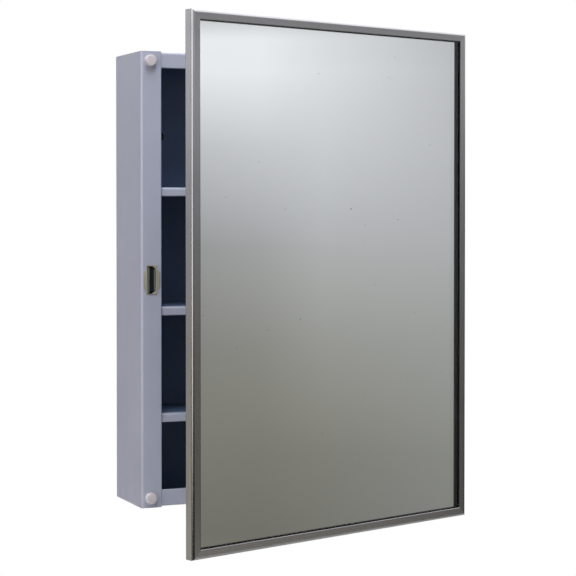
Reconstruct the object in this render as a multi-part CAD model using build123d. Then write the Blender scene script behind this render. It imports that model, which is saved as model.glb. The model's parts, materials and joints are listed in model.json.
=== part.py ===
# Surface-mounted steel medicine cabinet with a framed mirror door, one STEP file per piece.
#
# Millimetres, +Z up. The front faces -Y, the wall is the plane y = 0, and the origin is the
# centre of the back face. The door is built closed and then swung ajar about its hinge pin.
from build123d import *
import os

# ---- Cabinet body: folded and spot-welded enamelled sheet
body_width = 368.3
body_height = 495.3
body_depth = 88.9
sheet = 1.0  # thickness of the body and shelf sheet
bend_r = 1.5  # inside radius of a front fold
rear_bend_r = 0.4  # inside radius of a fold against the back panel
hem_gap = 0.4  # air inside a folded-back safety edge
hem_width = 6.5  # how far a safety edge is folded back
hem_fold = 0.96  # fold radius of a safety edge, as a part of half its gap between sheets
side_flange = 23.3  # width of the front flange of a side panel
rear_flange = 12.7  # width of the weld flange along the back panel
top_rail = 17.2  # height of the front rail of the top panel
bottom_rail = 18.2
rail_hem = 5.0  # safety edge along a rail
end_inset = 0.8  # how far the top and bottom panels lie inside the ends of the side panels
end_tab = 12.0  # weld tab of a top, bottom or shelf panel on a side panel

# ---- Shelves, by the height of the top face above the lower end of the body
shelf_heights = {"shelf_lower": 101.8, "shelf_middle": 218.2, "shelf_upper": 348.0}
shelf_lip = 9.6  # height of the front lip
shelf_hem = 5.5
shelf_rear_drop = 10.0
shelf_gap = 0.3  # behind the safety edge of the side flanges

# ---- Wall fixing holes in the back panel
key_side_offset = 50.8  # from a side of the body to a fixing
key_top_offset = 89.0  # from the upper end of the body to a keyhole's round entry
key_entry_r = 6.0
key_slot_r = 3.3
key_slot_rise = 7.9  # from the centre of the entry to the centre of the slot's round end
low_hole_r = 3.3
low_hole_offset = 89.0  # from the lower end of the body

# ---- Door: mirror, padding and back panel held in a mitred channel frame
door_side_overhang = 19.05  # beyond each side of the body
door_end_overhang = 31.75  # beyond each end of the body
door_gap = 5.0  # between the body's front and the door's back, closed
door_ajar = 19.0  # degrees open as modelled
frame_sheet = 0.9
frame_face = 10.4  # width of the frame's front face
frame_back_lip = 12.7
frame_front_r = 3.4  # outside radius of the frame's front edge
frame_back_r = 0.6  # inside radius of the frame's back edge
frame_hem_gap = 0.3
frame_hem_width = 5.0
mitre_gap = 0.04  # from the mitre plane to each member
glass_thickness = 6.0
silver_thickness = 0.1
padding_thickness = 2.8
back_sheet = 0.8
glass_inset = 3.0  # from the door's outer edge to the edge of the glass
silver_inset = 0.6  # from the edge of the glass to the edge of the silvering
padding_inset = 14.2  # from the door's outer edge
padding_pocket_gap = 0.5  # round a rivet's tail
back_clearance = 0.7  # round the door's back panel, inside the channel
glass_chamfer = 0.4
key_thickness = 1.2
key_leg = 32.0
key_clearance = 0.15
key_front_gap = 0.6  # behind the start of the frame's front fold

# ---- Full-height piano hinge
knuckle_pitch = 25.4
knuckle_gap = 0.3  # between neighbouring knuckles, and from a knuckle to the other leaf
hinge_side_gap = 0.4  # from the side of the body to the knuckles
pin_r = 1.1
pin_clearance = 0.05  # on the radius
pin_inset = 0.5  # from an end of the hinge
pin_chamfer = 0.3
leaf_sheet = 1.0
leaf_corner_r = 2.0
leaf_width = 13.4  # from the pin's axis
leaf_end_margin = 6.0  # least distance from an end of the body to the hinge
leaf_rivet_count = 6
leaf_rivet_offset = 9.6  # from the pin's axis
leaf_rivet_margin = 32.0  # from an end of the hinge to its last rivet

# ---- Blind rivets
rivet_r = 1.6
rivet_clearance = 0.05
rivet_head_r = 3.2
rivet_head_height = 1.0
rivet_crown_r = 1.8  # flat top of a head
rivet_tail_r = 2.3
rivet_tail_length = 1.2

# ---- Magnetic catch, through a slot in the left flange
catch_offset = 11.7  # from the left side of the body
catch_body_width = 12.2
catch_body_height = 31.0
catch_body_depth = 15.0  # behind the front of the body
catch_slot_gap = 0.2  # round the housing in its slot
catch_ear_width = 18.6
catch_ear_height = 22.0
catch_ear_r = 4.5
catch_proud = 0.8  # bezel in front of the flange
catch_wall = 1.2  # at the sides of the pocket
catch_end_wall = 0.5  # above and below the pocket
catch_floor = 1.4
catch_corner = 3.4  # cut corners of the pocket, on the opening's side
catch_barb = 1.4
catch_barb_half_width = 3.0
catch_barb_length = 3.7
catch_barb_gap = 0.3  # behind the flange sheet
pole_thickness = 1.5
outer_pole_height = 28.0
inner_pole_height = 21.6  # clear of the pocket's cut corners
pole_depth = 10.6
pole_proud = 0.3  # in front of the flange, pulled back
magnet_width = 5.2
magnet_height = 25.0
magnet_recess = 0.8  # behind the poles
catch_float = 0.8  # how far the poles can come forward to meet the strike
cross_pin_r = 1.0
cross_pin_depth = 6.4  # behind the poles' front edge
cross_pin_clearance = 0.12
cross_pin_inset = 0.2  # from the sides of the housing

# ---- Strike plate on the door's back panel
strike_sheet = 1.0
strike_width = 14.0
strike_pad_height = 28.0
strike_web_run = 2.6  # height that each sloping web takes
strike_foot = 12.0
strike_r = 1.2
strike_air = 0.2  # from the strike to the poles when they are forward

# ---- Door bumpers on the left flange
bumper_side_offset = 10.2
bumper_end_offset = 10.4
bumper_r = 6.25
bumper_air = 0.3  # from a bumper to the closed door's back panel
bumper_edge_r = 1.6
bumper_stem_r = 2.0
bumper_barb_r = 2.4
bumper_barb_gap = 0.2  # behind the rail
bumper_barb_length = 1.8
bumper_hole_clearance = 0.1

# ---- Places that follow from the sizes above
half_width = body_width / 2
door_width = body_width + 2 * door_side_overhang
door_height = body_height + 2 * door_end_overhang
top_z = body_height / 2
bottom_z = -body_height / 2
front_y = -body_depth
hem_thickness = 2 * sheet + hem_gap
rivet_hole_r = rivet_r + rivet_clearance
frame_hem = 2 * frame_sheet + frame_hem_gap
flange_edge = half_width - side_flange  # |x| of a side flange's safety edge
door_back_y = front_y - door_gap
frame_depth = (
    frame_hem + glass_thickness + silver_thickness + padding_thickness + back_sheet + frame_sheet
)
knuckle_r = door_gap / 2  # the knuckles fill the gap between the body and the door
pin_x = half_width + hinge_side_gap + knuckle_r
pin_y = front_y - door_gap / 2
knuckle_count = 2 * int((body_height - 2 * leaf_end_margin) / (2 * knuckle_pitch) - 0.5) + 1
hinge_length = knuckle_count * knuckle_pitch
key_z = top_z - key_top_offset
low_hole_z = bottom_z + low_hole_offset
key_x = half_width - key_side_offset
catch_x = catch_offset - half_width
bumper_x = bumper_side_offset - half_width
bumper_height = door_gap + frame_sheet - bumper_air
bumper_z = {"bumper_upper": top_z - bumper_end_offset, "bumper_lower": bottom_z + bumper_end_offset}
pole_front_y = front_y - pole_proud
strike_pad_y = pole_front_y - catch_float - strike_air  # the face that meets the poles, closed
rivet_rows = [
    (hinge_length - 2 * leaf_rivet_margin) * (row / (leaf_rivet_count - 1) - 0.5)
    for row in range(leaf_rivet_count)
]
strike_rivet_z = strike_pad_height / 2 + strike_web_run + strike_foot / 2
cut = 1.0  # how far a cutting solid runs past the face it cuts


# ---- Helpers
foot_first = (Align.CENTER, Align.CENTER, Align.MIN)


def block(x, y, z):
    """A box from three (low, high) pairs."""
    size = [high - low for low, high in (x, y, z)]
    centre = [(high + low) / 2 for low, high in (x, y, z)]
    return Pos(*centre) * Box(*size)


def rod(r, x, z, y_low, y_high):
    """A cylinder along Y."""
    turned = Rot(90, 0, 0) * Cylinder(r, y_high - y_low)
    return Pos(x, (y_low + y_high) / 2, z) * turned


def strip(points, radii, thickness):
    """The section of a folded sheet: its middle line's points and each fold's middle radius."""
    return trace(FilletPolyline(*points, radius=radii), thickness)


def fold_r(inside_r, thickness):
    return inside_r + thickness / 2


def hem_r(thickness, gap):
    """Middle radius of one half of a folded-back edge."""
    return (thickness + gap) / 2 * hem_fold


def rivet(x, z, y_head, y_tail, head_side):
    """A set blind rivet along Y between two sheet faces; head_side is +1 or -1 along Y."""
    crown = Cone(rivet_head_r, rivet_crown_r, rivet_head_height, align=foot_first)
    head = Pos(x, y_head, z) * Rot(-90 * head_side, 0, 0) * crown
    tail_end = y_tail - head_side * rivet_tail_length
    tail = rod(rivet_tail_r, x, z, min(y_tail, tail_end), max(y_tail, tail_end))
    return head + rod(rivet_r, x, z, min(y_head, y_tail), max(y_head, y_tail)) + tail


# ---- Cabinet body
def side_profile():
    """Plan section of the left side panel: safety edge, front flange, side and weld flange."""
    y_front = front_y + sheet / 2
    y_inner = y_front + sheet + hem_gap
    x_edge = -flange_edge - sheet / 2
    x_side = -half_width + sheet / 2
    y_rear = -sheet * 1.5
    points = [
        (-flange_edge - hem_width, y_inner),
        (x_edge, y_inner),
        (x_edge, y_front),
        (x_side, y_front),
        (x_side, y_rear),
        (-half_width + rear_flange, y_rear),
    ]
    edge = hem_r(sheet, hem_gap)
    return strip(points, [edge, edge, fold_r(bend_r, sheet), fold_r(rear_bend_r, sheet)], sheet)


def side_panel():
    """Left side panel, its safety edge cut back where the rails lap behind the flange."""
    panel = Pos(0, 0, bottom_z) * extrude(side_profile(), body_height)
    inner_x = (-flange_edge - hem_width - cut, -flange_edge + cut)
    inner_y = (front_y + sheet, front_y + hem_thickness + cut)
    panel -= block(inner_x, inner_y, (top_z - end_inset - top_rail - sheet, top_z + cut))
    panel -= block(inner_x, inner_y, (bottom_z - cut, bottom_z + end_inset + bottom_rail + sheet))
    return panel


def left_side_panel():
    panel = side_panel()
    slot_x = catch_body_width / 2 + catch_slot_gap
    slot_z = catch_body_height / 2 + catch_slot_gap
    slot_y = (front_y - cut, front_y + hem_thickness + cut)
    panel -= block((catch_x - slot_x, catch_x + slot_x), slot_y, (-slot_z, slot_z))
    return panel - bumper_holes()


def right_side_panel():
    panel = mirror(side_panel(), about=Plane.YZ)
    x = pin_x - leaf_rivet_offset
    return panel - [rod(rivet_hole_r, x, z, front_y - cut, front_y + sheet + cut) for z in rivet_rows]


def bumper_holes():
    hole_r = bumper_stem_r + bumper_hole_clearance
    return [rod(hole_r, bumper_x, z, front_y - cut, front_y + hem_thickness) for z in bumper_z.values()]


def folded_tray(y_front, front_drop, front_hem, rear_drop):
    """A panel between the side panels with its edges turned down and its top face at z = 0."""
    y_rear = -sheet
    mid = sheet / 2
    hem_y = y_front + mid + sheet + hem_gap
    front = [
        (hem_y, front_hem - front_drop),
        (hem_y, mid - front_drop),
        (y_front + mid, mid - front_drop),
        (y_front + mid, -mid),
        (y_rear - 2 * rear_flange, -mid),
    ]
    edge = hem_r(sheet, hem_gap)
    bend = fold_r(bend_r, sheet)
    rear = [(y_front / 2, -mid), (y_rear - mid, -mid), (y_rear - mid, -rear_drop)]
    x_end = half_width - sheet
    ends = [(-x_end + mid, -end_tab), (-x_end + mid, -mid), (x_end - mid, -mid), (x_end - mid, -end_tab)]
    corner = sheet + bend_r
    x_front = x_end - corner
    x_rear = half_width - rear_flange - sheet
    front_section = Plane.YZ * strip(front, [edge, edge, bend], sheet)
    rear_section = Plane.YZ * strip(rear, [bend], sheet)
    front_part = Pos(-x_front, 0, 0) * extrude(front_section, 2 * x_front)
    rear_part = Pos(-x_rear, 0, 0) * extrude(rear_section, 2 * x_rear)
    y_ends = (y_front + corner, y_rear - sheet - rear_bend_r)
    end_section = Plane.XZ * strip(ends, [bend, bend], sheet)
    end_part = Pos(0, y_ends[1], 0) * extrude(end_section, y_ends[1] - y_ends[0])
    return front_part + rear_part + end_part


def top_panel():
    tray = folded_tray(front_y + sheet, top_rail, rail_hem, rear_flange)
    return Pos(0, 0, top_z - end_inset) * tray - bumper_holes()


def bottom_panel():
    tray = mirror(folded_tray(front_y + sheet, bottom_rail, rail_hem, rear_flange), about=Plane.XY)
    return Pos(0, 0, bottom_z + end_inset) * tray - bumper_holes()


def shelf(height):
    tray = folded_tray(front_y + hem_thickness + shelf_gap, shelf_lip, shelf_hem, shelf_rear_drop)
    return Pos(0, 0, bottom_z + height) * tray


def back_panel():
    """Flat back with two keyholes to hang from and two plain holes below."""
    panel = block((-half_width, half_width), (-sheet, 0), (bottom_z, top_z))
    through = (-sheet - cut, cut)
    slot_top = key_z + key_slot_rise
    for x in (-key_x, key_x):
        panel -= rod(key_entry_r, x, key_z, *through)
        panel -= rod(key_slot_r, x, slot_top, *through)
        panel -= block((x - key_slot_r, x + key_slot_r), through, (key_z, slot_top))
        panel -= rod(low_hole_r, x, low_hole_z, *through)
    return panel


# ---- Bumpers and catch
def bumper(z):
    """A round-edged button on a barbed stem through the flange and the rail behind it."""
    head = rod(bumper_r, bumper_x, z, front_y - bumper_height, front_y)
    head = fillet(head.edges().group_by(Axis.Y)[0], bumper_edge_r)
    barb_y = front_y + 2 * sheet + bumper_barb_gap
    stem = rod(bumper_stem_r, bumper_x, z, front_y, barb_y + bumper_barb_length)
    barb = Cone(bumper_barb_r, bumper_stem_r, bumper_barb_length, align=foot_first)
    return head + stem + Pos(bumper_x, barb_y, z) * Rot(-90, 0, 0) * barb


def catch_housing():
    """Moulded cup with two side ears in front of the flange and barbs behind it."""
    half_w, half_h = catch_body_width / 2, catch_body_height / 2
    y_bezel = front_y - catch_proud
    y_back = front_y + catch_body_depth
    body = block((-half_w, half_w), (y_bezel, y_back), (-half_h, half_h))
    ears = extrude(Plane.XZ * RectangleRounded(catch_ear_width, catch_ear_height, catch_ear_r), catch_proud)
    body += Pos(0, front_y, 0) * ears
    barb_x = (-catch_barb_half_width, catch_barb_half_width)
    barb_front = front_y + sheet + catch_barb_gap
    for side in (-1, 1):
        barb_z = sorted((side * (half_h - catch_end_wall / 2), side * (half_h + catch_barb)))
        barb = block(barb_x, (barb_front, barb_front + catch_barb_length), barb_z)
        outer = barb.edges().group_by(Axis.Z)[-1 if side > 0 else 0]
        body += chamfer(outer.sort_by(Axis.Y)[-1], catch_barb * 0.9)
    pocket_w, pocket_h = half_w - catch_wall, half_h - catch_end_wall
    outline = Polyline(
        (-pocket_w, -pocket_h), (pocket_w - catch_corner, -pocket_h), (pocket_w, catch_corner - pocket_h),
        (pocket_w, pocket_h - catch_corner), (pocket_w - catch_corner, pocket_h), (-pocket_w, pocket_h),
        close=True,
    )
    pocket_depth = y_back - catch_floor - y_bezel
    body -= Pos(0, y_back - catch_floor, 0) * extrude(Plane.XZ * make_face(outline), pocket_depth + cut)
    slot_r = cross_pin_r + cross_pin_clearance
    pin_rest = pole_front_y + cross_pin_depth
    slot_x = (-half_w - cut, half_w + cut)
    slot = block(slot_x, (pin_rest - catch_float, pin_rest), (-slot_r, slot_r))
    for y in (pin_rest - catch_float, pin_rest):
        slot += Pos(0, y, 0) * Rot(0, 90, 0) * Cylinder(slot_r, catch_body_width + 2 * cut)
    return Pos(catch_x, 0, 0) * (body - slot)


def cross_pin_bore():
    centre_y = pole_front_y + cross_pin_depth
    return Pos(catch_x, centre_y, 0) * Rot(0, 90, 0) * Cylinder(cross_pin_r, catch_body_width)


def pole_plate(side, height):
    """Steel pole on one side of the magnet; side is -1 towards the body's side, +1 inward."""
    inner = catch_x + side * magnet_width / 2
    outer = inner + side * pole_thickness
    y = (pole_front_y, pole_front_y + pole_depth)
    return block(sorted((inner, outer)), y, (-height / 2, height / 2)) - cross_pin_bore()


def catch_magnet():
    half_w, half_h = magnet_width / 2, magnet_height / 2
    y = (pole_front_y + magnet_recess, pole_front_y + pole_depth)
    return block((catch_x - half_w, catch_x + half_w), y, (-half_h, half_h)) - cross_pin_bore()


def catch_cross_pin():
    length = catch_body_width - 2 * cross_pin_inset
    centre_y = pole_front_y + cross_pin_depth
    return Pos(catch_x, centre_y, 0) * Rot(0, 90, 0) * Cylinder(cross_pin_r, length)


# ---- Hinge
def knuckle(index):
    """Outer cylinder of one knuckle, counted from the lower end."""
    z = (index + 0.5) * knuckle_pitch - hinge_length / 2
    return Pos(pin_x, pin_y, z) * Cylinder(knuckle_r, knuckle_pitch - knuckle_gap), z


def hinge_leaf(side, first):
    """A leaf with every second knuckle. side -1 runs inward on the body, +1 outward on the door."""
    sheet_y = sorted((pin_y - side * knuckle_r, pin_y - side * (knuckle_r - leaf_sheet)))
    near = pin_x + side * (knuckle_r + knuckle_gap)
    far = pin_x + side * leaf_width
    leaf = block(sorted((near, far)), sheet_y, (-hinge_length / 2, hinge_length / 2))
    corner_edges = leaf.edges().filter_by(Axis.Y).group_by(Axis.X)[-1 if side > 0 else 0]
    leaf = fillet(corner_edges, leaf_corner_r)
    half_z = (knuckle_pitch - knuckle_gap) / 2
    for index in range(first, knuckle_count, 2):
        tube, z = knuckle(index)
        leaf += tube + block(sorted((pin_x, near)), sheet_y, (z - half_z, z + half_z))
    leaf -= Pos(pin_x, pin_y, 0) * Cylinder(pin_r + pin_clearance, hinge_length + 2 * cut)
    through = (sheet_y[0] - cut, sheet_y[1] + cut)
    return leaf - [rod(rivet_hole_r, pin_x + side * leaf_rivet_offset, z, *through) for z in rivet_rows]


def hinge_pin():
    pin = Pos(pin_x, pin_y, 0) * Cylinder(pin_r, hinge_length - 2 * pin_inset)
    return chamfer(pin.edges().filter_by(GeomType.CIRCLE), pin_chamfer)


def hinge_cabinet_rivets():
    y_head = front_y - leaf_sheet
    x = pin_x - leaf_rivet_offset
    return Compound([rivet(x, z, y_head, front_y + sheet, -1) for z in rivet_rows])


def hinge_door_rivets():
    y_head = door_back_y + leaf_sheet
    y_tail = door_back_y - frame_sheet - back_sheet
    x = pin_x + leaf_rivet_offset
    return Compound([rivet(x, z, y_head, y_tail, 1) for z in rivet_rows])


# ---- Door, closed. Depths run forward from the plane of the door's back
def frame_section():
    """Section of the frame channel: x inward from the door's edge, y forward from its back."""
    mid = frame_sheet / 2
    front = frame_depth - mid
    inner = front - frame_sheet - frame_hem_gap
    points = [
        (frame_back_lip, mid), (mid, mid), (mid, front),
        (frame_face - mid, front), (frame_face - mid, inner), (frame_face - frame_hem_width, inner),
    ]
    edge = hem_r(frame_sheet, frame_hem_gap)
    return strip(points, [fold_r(frame_back_r, frame_sheet), frame_front_r - mid, edge, edge], frame_sheet)


def frame_member(length):
    """A member along Z on the left of the door, mitred at both ends, outer edge at x = 0."""
    forward = Plane(origin=(0, 0, -length / 2), x_dir=(1, 0, 0), z_dir=(0, 0, 1))
    bar = extrude(forward * frame_section(), length)
    bar = mirror(bar, about=Plane.XZ)
    half, reach = length / 2 - mitre_gap, frame_back_lip + cut
    corners = Polyline((0, -half), (0, half), (reach, half - reach), (reach, reach - half), close=True)
    wedge = extrude(Plane.XZ * make_face(corners), frame_depth + cut, both=True)
    return Pos(0, door_back_y, 0) * (bar & wedge)


def upright_member(side):
    member = Pos(-door_width / 2, 0, 0) * frame_member(door_height)
    return member if side < 0 else mirror(member, about=Plane.YZ) - door_rivet_holes()


def cross_member(side):
    member = Pos(0, 0, -door_height / 2) * Rot(0, -90, 0) * frame_member(door_width)
    return member if side < 0 else mirror(member, about=Plane.XY)


def door_rivet_holes():
    """Holes for the hinge's rivets through the frame's back lip and the door's back panel."""
    y = (door_back_y - frame_sheet - back_sheet - cut, door_back_y + cut)
    return [rod(rivet_hole_r, pin_x + leaf_rivet_offset, z, *y) for z in rivet_rows]


def door_layer(inset, depth, thickness):
    """A flat layer of the door: its inset from the outer edge and its depth from the back."""
    half_w, half_h = door_width / 2 - inset, door_height / 2 - inset
    y = (door_back_y - depth - thickness, door_back_y - depth)
    return block((-half_w, half_w), y, (-half_h, half_h))


def door_back_panel():
    panel = door_layer(frame_sheet + back_clearance, frame_sheet, back_sheet)
    return panel - door_rivet_holes() - strike_rivet_holes()


def mirror_padding():
    """Closed-cell foam behind the mirror, with pockets for the strike's rivet tails."""
    depth = frame_sheet + back_sheet
    pad = door_layer(padding_inset, depth, padding_thickness)
    pocket_r = rivet_tail_r + padding_pocket_gap
    y = (door_back_y - depth - rivet_tail_length - padding_pocket_gap, door_back_y - depth + cut)
    return pad - [rod(pocket_r, catch_x, side * strike_rivet_z, *y) for side in (-1, 1)]


def mirror_silvering():
    depth = frame_sheet + back_sheet + padding_thickness
    return door_layer(glass_inset + silver_inset, depth, silver_thickness)


def mirror_glass():
    depth = frame_sheet + back_sheet + padding_thickness + silver_thickness
    glass = door_layer(glass_inset, depth, glass_thickness)
    return chamfer(glass.edges(), glass_chamfer)


def frame_corner_keys():
    """Four steel angles inside the channel that hold the mitred corners."""
    outer = frame_sheet + key_clearance
    inner = outer + key_thickness
    depth_low = frame_sheet + back_sheet + key_clearance
    depth_high = frame_depth - frame_front_r - key_front_gap
    y = (door_back_y - depth_high, door_back_y - depth_low)
    half_w, half_h = door_width / 2, door_height / 2
    upright = block((-half_w + outer, -half_w + inner), y, (half_h - key_leg, half_h - outer))
    across = block((-half_w + outer, -half_w + key_leg), y, (half_h - inner, half_h - outer))
    angle = upright + across
    lower = mirror(angle, about=Plane.XY)
    pair = [angle, lower]
    return Compound([key for left in pair for key in (left, mirror(left, about=Plane.YZ))])


def strike_plate():
    """Hat-shaped plate whose raised pad meets the poles of the catch."""
    foot_y = door_back_y - frame_sheet + strike_sheet / 2
    pad_y = strike_pad_y - strike_sheet / 2
    pad_z = strike_pad_height / 2
    web_z = pad_z + strike_web_run
    end_z = web_z + strike_foot
    points = [
        (foot_y, -end_z), (foot_y, -web_z), (pad_y, -pad_z),
        (pad_y, pad_z), (foot_y, web_z), (foot_y, end_z),
    ]
    bend = fold_r(strike_r, strike_sheet)
    section = Plane.YZ * strip(points, [bend] * 4, strike_sheet)
    plate = Pos(catch_x - strike_width / 2, 0, 0) * extrude(section, strike_width)
    return plate - strike_rivet_holes()


def strike_rivet_holes():
    """Holes through the strike's feet and the door's back panel."""
    y = (door_back_y - frame_sheet - back_sheet - cut, door_back_y + cut)
    return [rod(rivet_hole_r, catch_x, side * strike_rivet_z, *y) for side in (-1, 1)]


def strike_rivets():
    y_head = door_back_y - frame_sheet + strike_sheet
    y_tail = door_back_y - frame_sheet - back_sheet
    return Compound([rivet(catch_x, side * strike_rivet_z, y_head, y_tail, 1) for side in (-1, 1)])


# ---- Assembly
cabinet = {
    "back_panel": back_panel(),
    "left_side_panel": left_side_panel(),
    "right_side_panel": right_side_panel(),
    "top_panel": top_panel(),
    "bottom_panel": bottom_panel(),
    "catch_housing": catch_housing(),
    "hinge_cabinet_leaf": hinge_leaf(-1, 0),
    "hinge_pin": hinge_pin(),
    "hinge_cabinet_rivets": hinge_cabinet_rivets(),
}
for name, height in shelf_heights.items():
    cabinet[name] = shelf(height)
for name, z in bumper_z.items():
    cabinet[name] = bumper(z)

catch_pack = {
    "catch_magnet": catch_magnet(),
    "catch_outer_pole": pole_plate(-1, outer_pole_height),
    "catch_inner_pole": pole_plate(1, inner_pole_height),
    "catch_cross_pin": catch_cross_pin(),
}

door = {
    "frame_left_member": upright_member(-1),
    "frame_right_member": upright_member(1),
    "frame_top_member": cross_member(1),
    "frame_bottom_member": cross_member(-1),
    "frame_corner_keys": frame_corner_keys(),
    "mirror_glass": mirror_glass(),
    "mirror_silvering": mirror_silvering(),
    "mirror_padding": mirror_padding(),
    "door_back_panel": door_back_panel(),
    "hinge_door_leaf": hinge_leaf(1, 1),
    "hinge_door_rivets": hinge_door_rivets(),
    "strike_plate": strike_plate(),
    "strike_rivets": strike_rivets(),
}
swing = Pos(pin_x, pin_y, 0) * Rot(0, 0, door_ajar) * Pos(-pin_x, -pin_y, 0)

os.makedirs("parts", exist_ok=True)
for name, piece in (cabinet | catch_pack).items():
    export_step(piece, f"parts/{name}.step")
for name, piece in door.items():
    export_step(swing * piece, f"parts/{name}.step")
print(f"{len(cabinet) + len(catch_pack) + len(door)} nodes, frame depth {frame_depth:.2f} mm")
print(f"hinge {hinge_length:.1f} mm, pin at x {pin_x:.2f}, y {pin_y:.2f}; shelves at {shelf_heights}")
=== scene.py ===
# %% [markdown]
# # A steel medicine cabinet with a mirror door
# The cabinet is folded from enamelled sheet steel. Its door is a thick mirror held in a slim
# stainless channel, and a long hinge carries it on the right. All the hard parts are already
# modelled to size, so the first step only brings them in. Nothing that arrives here is moved
# or reshaped: this lesson gives the parts their finishes, and remakes the few pieces that are
# soft, cast or moulded.

# %% Bring in the parts
import json
import math

import bpy
from mathutils import Matrix, Vector

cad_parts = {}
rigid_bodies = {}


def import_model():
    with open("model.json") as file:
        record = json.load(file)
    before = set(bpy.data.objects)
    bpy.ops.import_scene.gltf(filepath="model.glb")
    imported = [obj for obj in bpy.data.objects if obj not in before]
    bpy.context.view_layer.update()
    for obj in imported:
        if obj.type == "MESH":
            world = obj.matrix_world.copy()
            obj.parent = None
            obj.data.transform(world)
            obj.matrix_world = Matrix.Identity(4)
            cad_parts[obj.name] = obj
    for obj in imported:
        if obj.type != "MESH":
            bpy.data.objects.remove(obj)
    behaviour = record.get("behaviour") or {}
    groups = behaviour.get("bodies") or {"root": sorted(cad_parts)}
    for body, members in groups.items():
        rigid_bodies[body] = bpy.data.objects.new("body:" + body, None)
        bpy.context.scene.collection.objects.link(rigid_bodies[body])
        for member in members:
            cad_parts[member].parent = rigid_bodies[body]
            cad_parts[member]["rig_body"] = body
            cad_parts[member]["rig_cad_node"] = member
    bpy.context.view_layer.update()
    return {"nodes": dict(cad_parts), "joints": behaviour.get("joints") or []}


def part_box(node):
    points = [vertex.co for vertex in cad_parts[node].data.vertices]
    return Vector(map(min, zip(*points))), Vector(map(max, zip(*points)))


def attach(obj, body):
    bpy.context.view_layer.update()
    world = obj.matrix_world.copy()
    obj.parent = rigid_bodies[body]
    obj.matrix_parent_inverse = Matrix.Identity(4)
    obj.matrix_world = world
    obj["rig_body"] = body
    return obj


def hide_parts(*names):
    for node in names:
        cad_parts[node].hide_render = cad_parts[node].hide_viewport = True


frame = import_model()
nodes = frame["nodes"]
hinge = next(joint for joint in frame["joints"] if joint["name"] == "door_hinge")
ajar = math.radians(-hinge["range_deg"][0])  # how far the door stands open, as it arrives
print(f"{len(nodes)} parts, the door {math.degrees(ajar):.0f} degrees ajar")

# %% [markdown]
# Sizes are easiest to read in millimetres, and Blender works in metres. Two directions matter
# throughout: the door's own width and thickness, which are turned from the cabinet's by the
# angle at which the door stands open.

# %% Units and directions
mm = 0.001
door_right = Vector((math.cos(ajar), math.sin(ajar), 0))
door_front = Vector((math.sin(ajar), -math.cos(ajar), 0))
print(f"the mirror faces {tuple(round(part, 2) for part in door_front)}")

# %% [markdown]
# A finish is a small program of nodes. Written node by node it is long and hard to read, so
# three helpers keep it short. `Value` wraps the output of a node so that ordinary sums in Python
# add the Math nodes. `Nodes` is any tree of nodes: it adds a node from its type, its settings
# and what goes into it. `Finish` is one material: a tree that has a surface shader, too.

# %% Sums on shader values
class Value:
    """The output of a shader node, which can take part in sums."""

    def __init__(self, nodes, socket):
        self.nodes = nodes
        self.socket = socket

    def sum_of(self, operation, first, second):
        return self.nodes.node("ShaderNodeMath", {"operation": operation}, {0: first, 1: second})

    def __add__(self, other):
        return self.sum_of("ADD", self, other)

    def __radd__(self, other):
        return self.sum_of("ADD", other, self)

    def __sub__(self, other):
        return self.sum_of("SUBTRACT", self, other)

    def __rsub__(self, other):
        return self.sum_of("SUBTRACT", other, self)

    def __mul__(self, other):
        return self.sum_of("MULTIPLY", self, other)

    def __rmul__(self, other):
        return self.sum_of("MULTIPLY", other, self)

    def between(self, low, high):
        """0 up to low, 1 from high on, and an even rise between them."""
        inputs = {"Value": self, "From Min": low, "From Max": high}
        return self.nodes.node("ShaderNodeMapRange", {"clamp": True}, inputs)


# %% Nodes in general
class Nodes:
    """A tree of shader nodes that grows by calls."""

    def __init__(self, tree):
        self.tree = tree

    def put(self, socket, what):
        if isinstance(what, Value):
            self.tree.links.new(what.socket, socket)
        else:
            socket.default_value = what

    def node(self, kind, settings, inputs, output=0):
        made = self.tree.nodes.new(kind)
        for name, what in settings.items():
            if name == "stops":
                set_stops(made.color_ramp, what)
            else:
                setattr(made, name, what)
        for name, what in inputs.items():
            self.put(made.inputs[name], what)
        return Value(self, made.outputs[output])

    def mix(self, factor, first, second):
        """Between two colours."""
        inputs = {0: factor, 6: first, 7: second}
        return self.node("ShaderNodeMix", {"data_type": "RGBA"}, inputs, 2)

    def ramp(self, value, stops):
        """A level for every value of 0 to 1, read from a few stops."""
        stops = [(position, grey(level)) for position, level in stops]
        return self.node("ShaderNodeValToRGB", {"stops": stops}, {"Fac": value})


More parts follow.
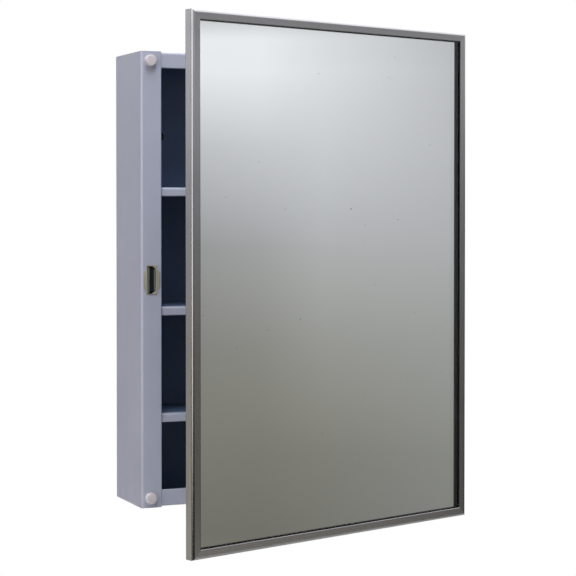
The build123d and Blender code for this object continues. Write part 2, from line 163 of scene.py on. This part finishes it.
# %% One finish
class Finish(Nodes):
    """A material with one Principled surface."""

    def __init__(self, name, **surface):
        self.material = bpy.data.materials.new(name)
        self.material.use_nodes = True
        super().__init__(self.material.node_tree)
        self.shader = self.tree.nodes["Principled BSDF"]
        self.set(**surface)

    def set(self, **surface):
        """Sockets of the surface by name, with _ for a space."""
        for name, what in surface.items():
            self.put(self.shader.inputs[name.replace("_", " ").title().replace("Ior", "IOR")], what)

    def place(self, turn=0.0, stretch=(1, 1, 1)):
        """Where a point of the surface is, in metres, turned about the vertical and stretched."""
        here = self.node("ShaderNodeTexCoord", {}, {}, "Object")
        turned = self.node("ShaderNodeMapping", {}, {"Vector": here, "Rotation": (0, 0, turn)})
        return self.node("ShaderNodeMapping", {}, {"Vector": turned, "Scale": stretch})

    def noise(self, place, scale, detail=3.0, roughness=0.5):
        inputs = {"Vector": place, "Scale": scale, "Detail": detail, "Roughness": roughness}
        return self.node("ShaderNodeTexNoise", {}, inputs)

    def along(self, output, direction):
        """How far a position or a normal goes in a direction."""
        kind = "ShaderNodeTexCoord" if output == "Object" else "ShaderNodeNewGeometry"
        inputs = {0: self.node(kind, {}, {}, output), 1: direction}
        return self.node("ShaderNodeVectorMath", {"operation": "DOT_PRODUCT"}, inputs, "Value")

    def bump(self, height, depth, strength=1.0):
        """A height of 0 to 1 as a relief that is so many metres deep."""
        inputs = {"Height": height, "Distance": depth, "Strength": strength}
        return self.node("ShaderNodeBump", {}, inputs)


def set_stops(ramp, stops):
    for index, (position, colour) in enumerate(stops):
        stop = ramp.elements[index] if index < 2 else ramp.elements.new(position)
        stop.position = position
        stop.color = colour


def grey(level, warmth=0.0):
    """A linear grey, a little warm or, below zero, a little blue."""
    return (level * (1 + warmth), level, level * (1 - warmth), 1)


# %% [markdown]
# ## Baked enamel
# The body is sprayed and baked. Enamel levels out well but never perfectly: a faint orange
# peel is left all over, and in some stretches the coat is a touch thicker. A thin clear gloss
# over a duller pigment is what makes it look baked on, so the surface has a coat. Hands and
# cloths leave it a little duller in patches, which shows only in the highlights. From a few
# millimetres behind the front, the faces inside the box are painted dark blue and made a little
# duller: the dark blue is painted shade, for the dim inside of the box.

# %% Enamel
body_low, body_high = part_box("left_side_panel")
lip_depth, fade_depth = 5.5 * mm, 16 * mm  # behind the front: the shelves' lips, the full painted shade
skin_low, skin_high = 0.3 * mm, 0.7 * mm  # inside the outer face of the sheet, in its thickness


def interior_shade_mask(paint):
    """0 on the outside and the front edges, 1 on the faces inside the box, where shade is painted."""
    place = paint.node("ShaderNodeTexCoord", {}, {}, "Object")
    x, y, z = (paint.node("ShaderNodeSeparateXYZ", {}, {0: place}, output) for output in range(3))
    from_side = -body_low.x - paint.node("ShaderNodeMath", {"operation": "ABSOLUTE"}, {0: x})
    from_end = body_high.z - paint.node("ShaderNodeMath", {"operation": "ABSOLUTE"}, {0: z})
    within = from_side.between(skin_low, skin_high) * (0 - y).between(skin_low, skin_high)
    within = within * from_end.between(skin_low + mm, skin_high + mm)
    return within * (y - body_low.y).between(lip_depth, fade_depth)


def enamel():
    paint = Finish("baked_enamel", coat_weight=0.35, coat_roughness=0.16, ior=1.5)
    place = paint.place()
    clouds = paint.noise(place, 14, 4, 0.6)
    wiped = paint.noise(paint.place(stretch=(1, 1, 0.35)), 45, 5, 0.65)
    colour = paint.mix(clouds.between(0.35, 0.7), (0.465, 0.485, 0.595, 1), (0.495, 0.515, 0.62, 1))
    specks = paint.noise(place, 900, 2).between(0.70, 0.78)
    colour = paint.mix(specks * 0.35, colour, (0.30, 0.31, 0.36, 1))
    inside = interior_shade_mask(paint)
    # Painted shade: the faces inside the box take a dark blue instead of the enamel's colour.
    paint.set(base_color=paint.mix(inside, colour, (0.10, 0.15, 0.26, 1)))
    paint.set(roughness=0.34 + 0.14 * wiped.between(0.35, 0.75) + 0.15 * inside)
    peel = paint.noise(place, 520, 2, 0.4) + 0.5 * paint.noise(place, 150, 2, 0.4)
    paint.set(normal=paint.bump(peel, 0.02 * mm, 0.6))
    return paint.material


# %% [markdown]
# ## Brushed stainless steel
# The frame is rolled from stainless strip with a satin finish. The belt that makes it leaves
# fine lines along the strip, so each member has its grain along its own length. The grain is
# noise squeezed hard across the strip and drawn out along it. The door stands ajar, so the
# pattern of the level members is turned to run along the door. Such grain spreads a reflection
# across itself, sideways on the upright members and up and down on the level ones, which is
# why the two sides of a mitred corner never look alike. Where the lip lies on the glass, its
# underside and its cut edge are coloured black, not metal.

# %% Brushed steel
def reach(node, direction):
    """How far a part goes in a direction, measured from the middle of the wall face."""
    return max(vertex.co.dot(direction) for vertex in nodes[node].data.vertices)


glass_front = reach("mirror_glass", door_front)
lip_width = 10.4 * mm
opening_left = lip_width - reach("frame_left_member", -door_right)
opening_right = reach("frame_right_member", door_right) - lip_width
opening_top = reach("frame_top_member", Vector((0, 0, 1))) - lip_width


def lip_black(steel):
    """1 on the lip's underside and on its cut edge, where it ends on the mirror."""
    across_door, up, depth = (steel.along("Object", way) for way in (door_right, (0, 0, 1), door_front))
    height = steel.node("ShaderNodeMath", {"operation": "ABSOLUTE"}, {0: up})
    edge = 0.25 * mm
    inside = across_door.between(opening_left - 2 * edge, opening_left - edge)
    inside = inside * (opening_right - across_door).between(-2 * edge, -edge)
    inside = inside * (opening_top - height).between(-2 * edge, -edge)
    facing = steel.along("Normal", door_front)
    underside = (0 - facing).between(0.3, 0.6) * depth.between(glass_front - mm, glass_front - 0.5 * mm)
    cut_edge = inside * (1 - facing.between(0.7, 0.9))
    return steel.node("ShaderNodeMath", {"operation": "MAXIMUM"}, {0: underside, 1: cut_edge})


def brushed_steel(name, stretch, spread_turn):
    steel = Finish(name, anisotropic=0.55, anisotropic_rotation=spread_turn)
    place = steel.place(-ajar, stretch)
    grain = steel.noise(place, 1.0, 3, 0.7)
    fine = steel.noise(place, 3.3, 2, 0.6)
    stain = steel.noise(steel.place(), 22, 4, 0.6)
    lines = grain.between(0.3, 0.7)
    shade = steel.mix(lines, (0.29, 0.28, 0.28, 1), (0.38, 0.37, 0.37, 1))
    shade = steel.mix(stain.between(0.5, 0.8) * 0.5, shade, (0.27, 0.26, 0.25, 1))
    # The lip's underside and its cut edge are coloured black and not metal.
    black = lip_black(steel)
    steel.set(base_color=steel.mix(black, shade, grey(0.003)), metallic=1 - black)
    steel.set(roughness=0.13 + 0.08 * fine + 0.04 * stain + 0.5 * black)
    steel.set(normal=steel.bump(grain + 0.5 * fine, 0.004 * mm, 0.7))
    return steel.material


across, along = 5500, 28  # how often the grain changes in a metre, across the strip and along it

# %% [markdown]
# ## The other metals
# The door's back is galvanised sheet, whose zinc froze in flat crystals that each reflect in
# their own way, so a cell pattern gives every crystal its own grey. The small plated parts and
# the hinge have a plain dull sheen with handling marks, and the magnet is pressed from ferrite
# powder, nearly black and a little gritty.

# %% Galvanised sheet
def galvanised():
    zinc = Finish("galvanised_sheet", metallic=1.0)
    place = zinc.place(-ajar)
    inputs = {"Vector": place, "Scale": 110, "Randomness": 1.0}
    crystal = zinc.node("ShaderNodeTexVoronoi", {"feature": "F1"}, inputs, "Color")
    part = zinc.node("ShaderNodeSeparateColor", {}, {"Color": crystal})
    rough = zinc.noise(place, 420, 3)
    white = zinc.noise(place, 9, 4, 0.7).between(0.55, 0.8)
    shade = zinc.mix(part, grey(0.30, -0.02), grey(0.46, -0.03))
    zinc.set(base_color=zinc.mix(white * 0.4, shade, grey(0.52)))
    zinc.set(roughness=0.34 + 0.18 * part + 0.12 * rough)
    zinc.set(normal=zinc.bump(part + 0.4 * rough, 0.01 * mm, 0.5))
    return zinc.material


# %% Plated and hinge steel
def plain_steel(name, dark, light, rough):
    steel = Finish(name, metallic=1.0)
    place = steel.place(-ajar)
    wear = steel.noise(place, 60, 5, 0.6)
    scratch = steel.noise(steel.place(0.4, (900, 900, 60)), 1.0, 3, 0.6)
    steel.set(base_color=steel.mix(wear.between(0.3, 0.75), dark, light))
    steel.set(roughness=rough + 0.12 * wear + 0.08 * scratch)
    steel.set(normal=steel.bump(scratch + wear, 0.006 * mm, 0.6))
    return steel.material


# %% Ferrite
def ferrite():
    block = Finish("ferrite", specular_ior_level=0.15)
    place = block.place()
    grit = block.noise(place, 2600, 3, 0.7)
    chips = block.noise(place, 380, 3, 0.6).between(0.62, 0.72)
    block.set(base_color=block.mix(grit, (0.003, 0.006, 0.004, 1), (0.010, 0.016, 0.011, 1)))
    block.set(roughness=0.55 + 0.3 * chips)
    block.set(normal=block.bump(grit - chips, 0.03 * mm, 0.8))
    return block.material


# %% [markdown]
# ## The mirror
# The mirror is silvered on its back, so light passes six millimetres of glass twice. Modelled
# as real glass in front of a perfect reflector, it shows by itself what such mirrors show: the
# reflection of the frame's lip stands a little inside the lip, as a dark band along the two
# far sides. Float glass is faintly green. Old silvering has pinholes and dull dots, which are
# put on the reflector behind the glass.

# %% Glass and silvering
def float_glass():
    glass = Finish("float_glass", transmission_weight=1.0, ior=1.52, base_color=(0.975, 0.992, 0.982, 1))
    smear = glass.noise(glass.place(-ajar, (1, 1, 0.5)), 24, 5, 0.7)
    glass.set(roughness=0.012 * smear.between(0.62, 0.9))
    return glass.material


def silvering():
    back = Finish("mirror_silvering", metallic=1.0)
    place = back.place(-ajar)
    dots = back.noise(place, 330, 1, 0.4).between(0.775, 0.80)
    haze = back.noise(place, 5, 3, 0.5)
    clear = back.mix(haze, (0.90, 0.90, 0.885, 1), (0.93, 0.93, 0.92, 1))
    back.set(base_color=back.mix(dots, clear, (0.16, 0.15, 0.13, 1)))
    back.set(roughness=0.01 + 0.5 * dots)
    return back.material


# %% [markdown]
# ## Plastics, rubber and foam
# The catch is moulded in ivory nylon, which lets a little light in, so it has a short
# subsurface distance. The bumpers are soft white vinyl that has picked up grime. The pad
# behind the mirror is closed-cell foam, seen only if the door is taken apart.

# %% Soft finishes
def nylon():
    plastic = Finish("ivory_nylon", subsurface_weight=0.25, subsurface_scale=0.8 * mm, ior=1.53)
    place = plastic.place()
    flow = plastic.noise(place, 160, 3, 0.6)
    grime = plastic.noise(place, 420, 4, 0.7).between(0.58, 0.8)
    tone = plastic.mix(flow, (0.36, 0.355, 0.27, 1), (0.41, 0.40, 0.31, 1))
    plastic.set(base_color=plastic.mix(grime * 0.6, tone, (0.17, 0.16, 0.12, 1)))
    plastic.set(roughness=0.36 + 0.2 * grime)
    plastic.set(normal=plastic.bump(flow, 0.03 * mm, 0.4))
    return plastic.material


def vinyl():
    rubber = Finish("white_vinyl", subsurface_weight=0.2, subsurface_scale=1.0 * mm, ior=1.5)
    place = rubber.place()
    matt = rubber.noise(place, 1500, 3, 0.6)
    grime = rubber.noise(place, 260, 5, 0.7).between(0.5, 0.85)
    rubber.set(base_color=rubber.mix(grime * 0.5, (0.70, 0.65, 0.665, 1), (0.40, 0.37, 0.36, 1)))
    rubber.set(roughness=0.5 + 0.15 * matt)
    rubber.set(normal=rubber.bump(matt, 0.02 * mm, 0.6))
    return rubber.material


def foam():
    pad = Finish("closed_cell_foam", sheen_weight=0.2)
    inputs = {"Vector": pad.place(-ajar), "Scale": 900, "Randomness": 1.0}
    cells = pad.node("ShaderNodeTexVoronoi", {"feature": "DISTANCE_TO_EDGE"}, inputs, "Distance")
    wall = cells.between(0.0, 0.12)
    pad.set(base_color=pad.mix(wall, grey(0.16), grey(0.09)))
    pad.set(roughness=0.75 + 0.2 * wall)
    pad.set(normal=pad.bump(1 - wall, 0.1 * mm, 0.7))
    return pad.material


# %% [markdown]
# The finishes are made once and handed out by the part's name. The level members of the frame
# take the grain that runs along the door, the upright ones the grain that runs up it.

# %% Hand out the finishes
painted = enamel()
plated = plain_steel("zinc_plated_steel", grey(0.42, 0.03), grey(0.60, 0.02), 0.28)
hinge_metal = plain_steel("hinge_steel", grey(0.40), grey(0.52), 0.30)
upright_grain = brushed_steel("brushed_upright", (across, across, along), 0.0)
level_grain = brushed_steel("brushed_level", (along, across, across), 0.25)
magnet_finish, catch_finish, bumper_finish, foam_finish = ferrite(), nylon(), vinyl(), foam()

finish_of = {
    "frame_left_member": upright_grain,
    "frame_right_member": upright_grain,
    "frame_top_member": level_grain,
    "frame_bottom_member": level_grain,
    "mirror_glass": float_glass(),
    "mirror_silvering": silvering(),
    "mirror_padding": foam_finish,
    "door_back_panel": galvanised(),
    "catch_magnet": magnet_finish,
    "catch_housing": catch_finish,
    "bumper_upper": bumper_finish,
    "bumper_lower": bumper_finish,
    "catch_outer_pole": plated,
    "catch_inner_pole": plated,
    "catch_cross_pin": plated,
    "frame_corner_keys": plated,
    "strike_plate": plated,
    "strike_rivets": plated,
    "hinge_cabinet_leaf": hinge_metal,
    "hinge_door_leaf": hinge_metal,
    "hinge_pin": hinge_metal,
    "hinge_cabinet_rivets": hinge_metal,
    "hinge_door_rivets": hinge_metal,
}
for name, part in nodes.items():
    part.data.materials.clear()
    part.data.materials.append(finish_of.get(name, painted))
print(f"{len(nodes)} parts finished, {len(nodes) - len(finish_of)} of them enamelled")

# %% [markdown]
# ## Pieces remade from the parts
# Three parts are better remade than only painted. The silvering has to touch the glass: where
# the two faces lie in the same plane the renderer can't tell which comes first, so the new
# coat reaches a hair into the glass. The foam pad and the moulded catch have soft edges, which
# a narrow bevel gives. A remade part starts as a merged copy, because the original stays as
# it is and its triangles aren't joined to each other.

# %% A merged copy
def merged_copy(node, name):
    """A copy of a part whose triangles are joined into faces again."""
    bpy.ops.object.select_all(action="DESELECT")
    copy = nodes[node].copy()
    copy.data = nodes[node].data.copy()
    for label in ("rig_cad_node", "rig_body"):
        del copy[label]
    copy.parent = None
    copy.name = name
    bpy.context.scene.collection.objects.link(copy)
    bpy.context.view_layer.objects.active = copy
    copy.select_set(True)
    bpy.ops.object.mode_set(mode="EDIT")
    bpy.ops.mesh.select_all(action="SELECT")
    bpy.ops.mesh.remove_doubles(threshold=0.002 * mm)
    bpy.ops.mesh.dissolve_limited(angle_limit=math.radians(1))
    bpy.ops.object.mode_set(mode="OBJECT")
    return copy


def stand_for(piece, node):
    """The piece takes the place of the part."""
    body = nodes[node]["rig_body"]
    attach(piece, body)
    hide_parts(node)
    print(f"{piece.name}: {len(piece.data.polygons)} faces, on the {body}")


def round_edges(piece, width, segments):
    bevel = piece.modifiers.new("edges", "BEVEL")
    bevel.width, bevel.segments = width, segments
    bevel.limit_method, bevel.angle_limit = "ANGLE", math.radians(35)
    bpy.context.view_layer.objects.active = piece
    bpy.ops.object.modifier_apply(modifier=bevel.name)
    bpy.ops.object.shade_smooth_by_angle(angle=math.radians(40))


# %% Silvering
glass_overlap = 0.03 * mm
silver = merged_copy("mirror_silvering", "silver_coat")
bpy.ops.object.mode_set(mode="EDIT")
bpy.ops.transform.translate(value=door_front * glass_overlap)
bpy.ops.object.mode_set(mode="OBJECT")
stand_for(silver, "mirror_silvering")

# %% Pad and catch
foam_edge, moulded_edge = 0.6 * mm, 0.22 * mm
pad = merged_copy("mirror_padding", "foam_pad")
round_edges(pad, foam_edge, 3)
stand_for(pad, "mirror_padding")

catch = merged_copy("catch_housing", "catch_moulding")
round_edges(catch, moulded_edge, 2)
stand_for(catch, "catch_housing")

# %% [markdown]
# ## Turned pieces: bumpers and rivets
# A bumper is a soft button with a crowned face, and a blind rivet has a low dome with a dimple
# where its pin broke off. Both are round, so each is drawn as half an outline and spun about
# its axis. The outline is one point that is extruded from place to place, and because it
# starts and ends on the axis, the spin closes it.

# %% Spin an outline
def turned(name, outline, steps):
    """A round piece about the Y axis, from (radius, depth) points that run from front to back."""
    bpy.ops.object.select_all(action="DESELECT")
    bpy.ops.mesh.primitive_plane_add(size=mm)
    piece = bpy.context.object
    piece.name = name
    bpy.ops.object.mode_set(mode="EDIT")
    bpy.ops.mesh.select_all(action="SELECT")
    bpy.ops.mesh.merge(type="CENTER")
    bpy.ops.transform.translate(value=(outline[0][0], outline[0][1], 0))
    for (r, y), (next_r, next_y) in zip(outline, outline[1:]):
        step = {"value": (next_r - r, next_y - y, 0)}
        bpy.ops.mesh.extrude_region_move(TRANSFORM_OT_translate=step)
    bpy.ops.mesh.select_all(action="SELECT")
    bpy.ops.mesh.spin(steps=steps, angle=math.tau, center=(0, 0, 0), axis=(0, 1, 0))
    bpy.ops.mesh.select_all(action="SELECT")
    bpy.ops.mesh.remove_doubles(threshold=0.002 * mm)
    bpy.ops.mesh.normals_make_consistent(inside=False)
    bpy.ops.object.mode_set(mode="OBJECT")
    bpy.ops.object.shade_smooth_by_angle(angle=math.radians(35))
    return piece


def round_end(radius, depth, corner, crown, count=7):
    """Outline of a button's front: a slight crown, then a rounded corner."""
    flat = radius - corner
    points = [(flat * part, depth + crown * part**2) for part in (0, 0.35, 0.7, 1)]
    for index in range(1, count + 1):
        angle = math.pi / 2 * index / count
        points.append((flat + corner * math.sin(angle), depth + crown + corner * (1 - math.cos(angle))))
    return points


def lay(piece, matrix):
    """Move a piece to its place, in its mesh."""
    piece.matrix_world = matrix
    bpy.context.view_layer.objects.active = piece
    piece.select_set(True)
    bpy.ops.object.transform_apply(location=True, rotation=True, scale=True)
    piece.select_set(False)


# %% Bumpers
stem_r, barb_r = 2.0 * mm, 2.4 * mm
barb_start, barb_end = 1.8 * mm, 1.5 * mm  # from the inner end of the stem
corner_r, crown = 1.3 * mm, 0.15 * mm
for node in ("bumper_upper", "bumper_lower"):
    low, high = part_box(node)
    centre, radius = (low + high) / 2, (high.x - low.x) / 2
    head, depth = body_low.y - low.y, high.y - low.y
    outline = round_end(radius, 0, corner_r, crown) + [(radius, head), (stem_r, head)]
    outline += [(stem_r, depth - barb_start), (barb_r, depth - barb_start)]
    outline += [(barb_r, depth - barb_end), (stem_r, depth), (0, depth)]
    button = turned(node + "_button", outline, 48)
    button.data.materials.append(bumper_finish)
    lay(button, Matrix.Translation((centre.x, low.y, centre.z)))
    stand_for(button, node)

# %% Rivets
head_r, shank_r, tail_r = 3.2 * mm, 1.6 * mm, 2.3 * mm
head_height, tail_length = 1.0 * mm, 1.2 * mm
pin_hole_r = 0.85 * mm


def rivet_outline(grip):
    """From the dimple in the head to the swelled tail; the grip is what it holds together."""
    end = head_height + grip
    return [
        (0, 0.45 * mm), (pin_hole_r, 0.4 * mm), (pin_hole_r, 0.06 * mm), (1.1 * mm, 0),
        (1.9 * mm, 0.08 * mm), (2.6 * mm, 0.32 * mm), (3.05 * mm, 0.66 * mm), (head_r, 0.92 * mm),
        (head_r, head_height), (shank_r, head_height), (shank_r, end), (tail_r, end + 0.15 * mm),
        (tail_r, end + 0.7 * mm), (1.6 * mm, end + tail_length), (0, end + tail_length),
    ]


def rivet_row(node, name, grip, places, face, finish):
    """Copies of one rivet, joined: face turns the rivet and places are where its head stands."""
    first = turned(name, rivet_outline(grip), 24)
    first.data.materials.append(finish)
    rivets = [first]
    for _ in places[1:]:
        copy = first.copy()
        copy.data = first.data.copy()
        bpy.context.scene.collection.objects.link(copy)
        rivets.append(copy)
    for piece, place in zip(rivets, places):
        lay(piece, Matrix.Translation(place) @ face)
    bpy.ops.object.select_all(action="DESELECT")
    for piece in rivets:
        piece.select_set(True)
    bpy.context.view_layer.objects.active = first
    bpy.ops.object.join()
    stand_for(first, node)


def levels(node, count):
    """Heights of a row's rivets, from the part's own box."""
    low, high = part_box(node)
    first, last = low.z + head_r, high.z - head_r
    return [first + (last - first) * index / (count - 1) for index in range(count)]


from_front = Matrix.Identity(4)
from_behind = Matrix.Rotation(ajar + math.pi, 4, "Z")
low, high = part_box("hinge_cabinet_rivets")
places = [Vector(((low.x + high.x) / 2, low.y, z)) for z in levels("hinge_cabinet_rivets", 6)]
grip = high.y - low.y - head_height - tail_length
node, name = "hinge_cabinet_rivets", "cabinet_rivet_row"
rivet_row(node, name, grip, places, from_front, hinge_metal)


def door_rivets(node, name, count, finish):
    depth_low, depth_high = -reach(node, -door_front), reach(node, door_front)
    middle = (reach(node, door_right) - reach(node, -door_right)) / 2
    row = door_right * middle + door_front * depth_low
    places = [row + Vector((0, 0, z)) for z in levels(node, count)]
    grip = depth_high - depth_low - head_height - tail_length
    rivet_row(node, name, grip, places, from_behind, finish)


door_rivets("hinge_door_rivets", "door_rivet_row", 6, hinge_metal)
door_rivets("strike_rivets", "strike_rivet_pair", 2, plated)

# %% [markdown]
# ## Floor, light and camera
# The setting is a photographer's: a pale floor that melts into white, large soft lights, and a
# plain room for the mirror and the steel to look at. The floor is far below, because the
# cabinet hangs on a wall. The wall isn't built: a near-black sheet just behind the back panel is
# painted shade, seen through the fixing holes; from behind it is clear, so the back can be looked at
# too.

# %% The floor and the painted shade behind the holes
floor_drop = 1.15
floor_reach = 2.4


def floor_finish():
    finish = Finish("pale_floor", base_color=grey(0.8), roughness=0.9)
    here = finish.node("ShaderNodeTexCoord", {}, {}, "Object")
    distance = finish.node("ShaderNodeVectorMath", {"operation": "LENGTH"}, {0: here}, "Value")
    finish.set(alpha=1 - distance.between(0.55 * floor_reach, floor_reach))
    return finish.material


# Painted shade: near black, so that the fixing holes look dark; clear from behind.
def hole_shade_finish():
    finish = Finish("painted_hole_shade", base_color=grey(0.004), roughness=0.9)
    behind = finish.node("ShaderNodeNewGeometry", {}, {}, "Backfacing")
    finish.set(alpha=1 - behind)
    return finish.material


bpy.ops.object.select_all(action="DESELECT")
bpy.ops.mesh.primitive_plane_add(size=2 * floor_reach, location=(0, 0, -floor_drop))
floor = bpy.context.object
floor.name = "floor"
floor.data.materials.append(floor_finish())

# %% The patch of painted shade
low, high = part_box("back_panel")
patch_size = high.x - low.x - 20 * mm
place = (0, high.y + 0.5 * mm, 0)
bpy.ops.mesh.primitive_plane_add(size=patch_size, location=place, rotation=(math.pi / 2, 0, 0))
patch = bpy.context.object
patch.name = "hole_shade_sheet"
patch.data.materials.append(hole_shade_finish())
patch.visible_shadow = patch.visible_diffuse = False
print(f"floor {floor_drop:.2f} m below, patch {patch_size / mm:.0f} mm wide")

# %% [markdown]
# The room is painted on the world, by direction. `side` is the angle from straight ahead of
# the cabinet, in degrees, with the right positive, and `rise` is how steeply a direction
# climbs. A tall, narrow, bright panel stands on the left, it is dim in front, the walls on the
# right and behind fade downwards, and the ceiling is bright. Only reflections see the room:
# the lamps light the surfaces, and the camera sees plain white behind the cabinet. Painting it
# keeps the reflections smooth, and each wall can be set without touching the light.

# %% The world and its directions
world = bpy.data.worlds.new("room")
bpy.context.scene.world = world
world.use_nodes = True
world.cycles_visibility.diffuse = False
room = Nodes(world.node_tree)
look = room.node("ShaderNodeTexCoord", {}, {}, "Generated")
x, y, rise = (room.node("ShaderNodeSeparateXYZ", {}, {0: look}, output) for output in range(3))
side = room.node("ShaderNodeMath", {"operation": "ARCTAN2"}, {0: x, 1: 0 - y}) * (180 / math.pi)
height = rise.between(-0.3, 0.3)
print("the room is lit by direction, for reflections only")

# %% Walls
# Each wall has pairs of a height, which is 0 at a rise of -0.3 and 1 at 0.3, and a brightness.
near_low = [(0, 0.85), (0.1, 0.80), (0.18, 0.20), (0.2, 0.18), (0.37, 0.26), (0.46, 0.36)]
near_high = [(0.55, 0.60), (0.62, 0.93), (0.65, 0.95), (0.68, 0.45), (0.9, 0.45)]
near_wall = room.ramp(height, near_low + near_high)
far_low = [(0, 0.70), (0.1, 0.65), (0.18, 0.27), (0.2, 0.26), (0.27, 0.29), (0.37, 0.39)]
far_high = [(0.46, 0.49), (0.55, 0.53), (0.62, 0.48), (0.68, 0.40)]
far_wall = room.ramp(height, far_low + far_high)
back_stops = [(0, 0.80), (0.2, 0.75), (0.25, 0.62), (0.47, 0.62), (0.53, 0.78), (0.62, 1.25)]
back_wall = room.ramp(height, back_stops)
print(f"the near wall has {len(near_low + near_high)} stops, the far wall {len(far_low + far_high)}")

# %% The right front, where the mirror looks
turn = side.between(60, 68)
middle = side.between(58, 62) * (1 - side.between(62, 67))
middle = middle * rise.between(-0.136, -0.02) * (1 - rise.between(0.03, 0.08))
right_front = near_wall * (1 - turn) + far_wall * turn + 0.1 * middle
corner, low_down = side.between(66, 71), 1 - rise.between(0.0, 0.06)
right_front = right_front * (1 - 0.92 * corner * low_down) + 0.8 * corner * rise.between(0.04, 0.08)
right_front = right_front * rise.between(-0.5, -0.3)

# %% The left, the back and the ceiling
panel_light, ceiling_light = 2.2, 1.3
strip = side.between(-86, -80) * (1 - side.between(-55, -42)) * rise.between(-0.17, -0.09)
dim_front = 0.35 * rise.between(-0.15, -0.02) + 0.75 * rise.between(0.02, 0.07)
dim_front = dim_front * (1 - side.between(2, 28))
level = right_front * side.between(2, 28)
level = level + (panel_light * strip + dim_front) * side.between(-84, -80)
level = level + back_wall * (1 - side.between(-104, -98)) * (0.3 + 0.7 * side.between(-145, -128))
level = level + ceiling_light * rise.between(0.25, 0.5)

# %% Its colour, and what the camera sees
low_tint = room.mix(turn, (1.02, 1.0, 0.88, 1), (0.985, 1.0, 0.98, 1))
tint = room.mix(rise.between(-0.12, -0.01), low_tint, (0.965, 0.98, 1.03, 1))
seen = room.node("ShaderNodeLightPath", {}, {}, "Is Camera Ray")
background = world.node_tree.nodes["Background"]
room.put(background.inputs["Color"], room.mix(seen, tint, (1, 1, 1, 1)))
room.put(background.inputs["Strength"], seen + (1 - seen) * level)

# %% [markdown]
# A large lamp on the left and one overhead do most of the work, as a photographer's panels do.
# The other three are weak and only keep the right and the back from going black. They are
# hidden from reflections, because the painted room already shows in those.

# %% The lamps
def soft_light(name, azimuth, elevation, distance, width, height, light_there, colour=(1, 1, 1)):
    """A lamp that looks at the cabinet from so many degrees to the left of straight ahead.

    Its power comes from the light that should arrive, in watts per square metre.
    """
    turn, tilt = math.radians(azimuth), math.radians(elevation)
    back = Vector((-math.sin(turn) * math.cos(tilt), -math.cos(turn) * math.cos(tilt), math.sin(tilt)))
    lamp = bpy.data.lights.new(name, "AREA")
    lamp.shape = "RECTANGLE"
    lamp.size, lamp.size_y = width, height
    lamp.energy = light_there * math.pi * distance**2
    lamp.color = colour
    holder = bpy.data.objects.new(name, lamp)
    bpy.context.scene.collection.objects.link(holder)
    holder.location = back * distance
    holder.rotation_euler = back.to_track_quat("Z", "Y").to_euler()
    holder.visible_camera = holder.visible_glossy = False


# name, degrees to the left, degrees up, distance, width, height, light that arrives
soft_light("left_panel", 58, 15, 3.2, 2.0, 2.6, 1.42, (1.05, 0.985, 0.97))
soft_light("top_panel", 20, 62, 3.0, 1.2, 1.2, 2.2, (0.93, 1.0, 1.04))
soft_light("right_fill", -80, 20, 3.2, 1.5, 1.5, 0.8)
soft_light("back_fill_left", 150, 30, 3.2, 1.5, 1.5, 0.9)
soft_light("back_fill_right", -150, 30, 3.2, 1.5, 1.5, 0.9)
print(f"{len(bpy.data.lights)} lamps")

# %% [markdown]
# The camera stands a little to the left and looks slightly down, with a long lens, so that the
# upright edges stay almost parallel. Instead of tilting further, its picture is shifted, as on
# a view camera.

# %% The camera
camera = bpy.data.objects.new("camera", bpy.data.cameras.new("camera"))
bpy.context.scene.collection.objects.link(camera)
bpy.context.scene.camera = camera
camera.location = (-0.80025, -1.95446, 0.08398)  # the wall face's middle is the origin
yaw, pitch = math.radians(22.905), math.radians(-1.185)
camera.rotation_euler = (math.pi / 2 + pitch, 0, -yaw)
camera.data.sensor_width = 36
camera.data.lens = 113.28
camera.data.shift_y = -1 / 12
camera.data.dof.use_dof = False
bpy.context.scene.view_settings.view_transform = "Standard"
print(f"camera {camera.location.length:.2f} m away, lens {camera.data.lens:.0f} mm")
